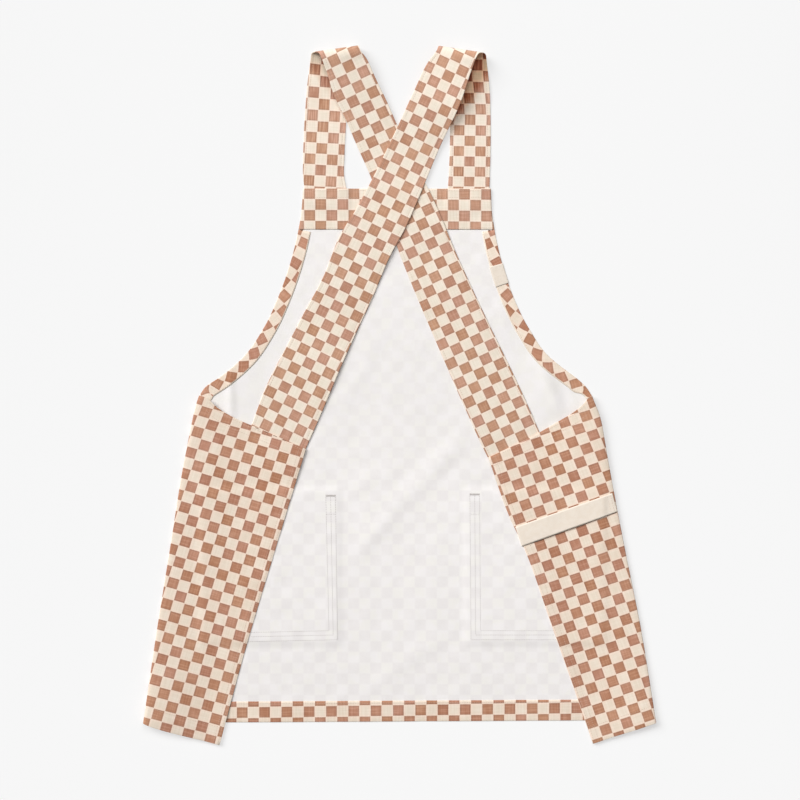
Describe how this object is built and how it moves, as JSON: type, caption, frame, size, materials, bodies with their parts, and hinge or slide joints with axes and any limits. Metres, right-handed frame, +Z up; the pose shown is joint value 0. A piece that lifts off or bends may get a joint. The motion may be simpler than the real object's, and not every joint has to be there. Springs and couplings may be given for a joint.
{
  "type": "cross-back smock",
  "caption": "Cotton cross-back smock lying flat on its front, with its sides folded over and its wide shoulder straps crossed at the back.",
  "frame": {"origin": "centre of the lying smock's bounding box, on the surface that it lies on", "axes": "+Y from the hem towards the shoulders, +X to the right as seen from above its back, +Z up"},
  "size_m": [0.779, 1.062, 0.0165],
  "materials": {
    "printed_cloth": "matte cotton canvas printed with a brown and cream check",
    "plain_inside": "matte unprinted side of the same canvas",
    "cream_tape": "matte cotton twill tape"
  },
  "bodies": {
    "root": {"front_panel": "plain_inside", "wing_left": "printed_cloth", "wing_right": "printed_cloth", "armhole_hem_left": "printed_cloth", "armhole_hem_right": "printed_cloth", "hem_bottom": "printed_cloth", "bib_facing": "printed_cloth", "strap_left": "printed_cloth", "strap_right": "printed_cloth", "pocket_left": "printed_cloth", "pocket_right": "printed_cloth", "towel_loop": "cream_tape", "edge_tab": "cream_tape"}
  },
  "joints": []
}
